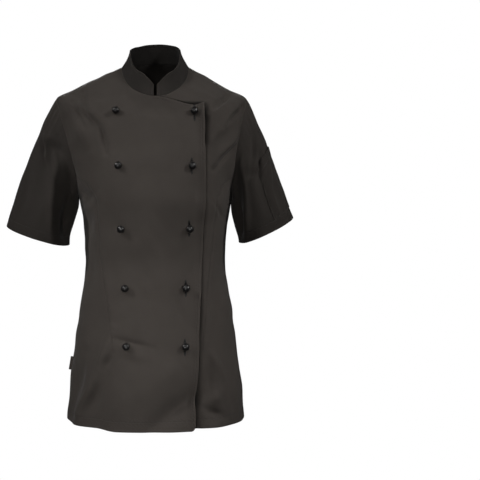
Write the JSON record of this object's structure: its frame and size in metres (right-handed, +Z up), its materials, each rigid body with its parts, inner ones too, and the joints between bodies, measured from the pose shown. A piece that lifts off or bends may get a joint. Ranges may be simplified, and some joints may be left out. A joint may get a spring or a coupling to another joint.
{
  "type": "chef jacket",
  "caption": "Short-sleeved double-breasted chef jacket in worn form, with stand collar, ball studs, sleeve pen pocket and open neck, cuffs and hem.",
  "frame": {"origin": "middle of the neck's base, level with the neck ends of the shoulder seams, where the wearer's shoulders carry the jacket", "axes": "+X to the wearer's left, -Y out of the front, +Z up"},
  "size_m": [0.5556, 0.2676, 0.7413],
  "materials": {
    "twill": "matt charcoal cotton-blend twill",
    "stud_plastic": "glossy black"
  },
  "bodies": {
    "root": {"right_front": "twill", "left_front": "twill", "back": "twill", "right_sleeve": "twill", "left_sleeve": "twill", "collar": "twill", "pen_pocket": "twill", "side_label": "twill", "stud_r1": "stud_plastic", "stud_r2": "stud_plastic", "stud_r3": "stud_plastic", "stud_r4": "stud_plastic", "stud_r5": "stud_plastic", "stud_l1": "stud_plastic", "stud_l2": "stud_plastic", "stud_l3": "stud_plastic", "stud_l4": "stud_plastic", "stud_l5": "stud_plastic"}
  },
  "joints": []
}
